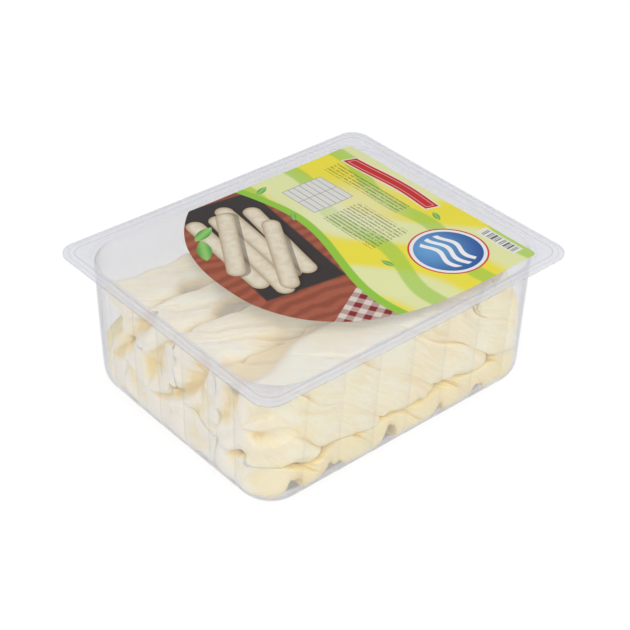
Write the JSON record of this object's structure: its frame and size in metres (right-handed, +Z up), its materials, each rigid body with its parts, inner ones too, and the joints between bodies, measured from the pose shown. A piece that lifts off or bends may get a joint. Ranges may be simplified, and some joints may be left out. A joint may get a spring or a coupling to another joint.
{
  "type": "sealed tray of braided string cheese",
  "caption": "Clear thermoformed tray with a flat rim and round corners, closed by a printed film and filled with thick braided cheese ropes.",
  "frame": {"origin": "middle of the footprint, on the surface that the tray stands on", "axes": "+Z up, X along the tray's long side and along the braids, -Y the front long wall"},
  "size_m": [0.186, 0.1504, 0.0736],
  "materials": {
    "clear_tray": "clear gloss plastic with a slight grey haze",
    "printed_film": "thin glossy film, printed over two thirds of it and clear elsewhere",
    "fresh_cheese": "moist fibrous cream cheese, satin"
  },
  "bodies": {
    "root": {"tray": "clear_tray", "film": "printed_film", "braid_lower_1": "fresh_cheese", "braid_lower_2": "fresh_cheese", "braid_lower_3": "fresh_cheese", "braid_lower_4": "fresh_cheese", "braid_upper_1": "fresh_cheese", "braid_upper_2": "fresh_cheese", "braid_upper_3": "fresh_cheese", "braid_upper_4": "fresh_cheese"}
  },
  "joints": []
}
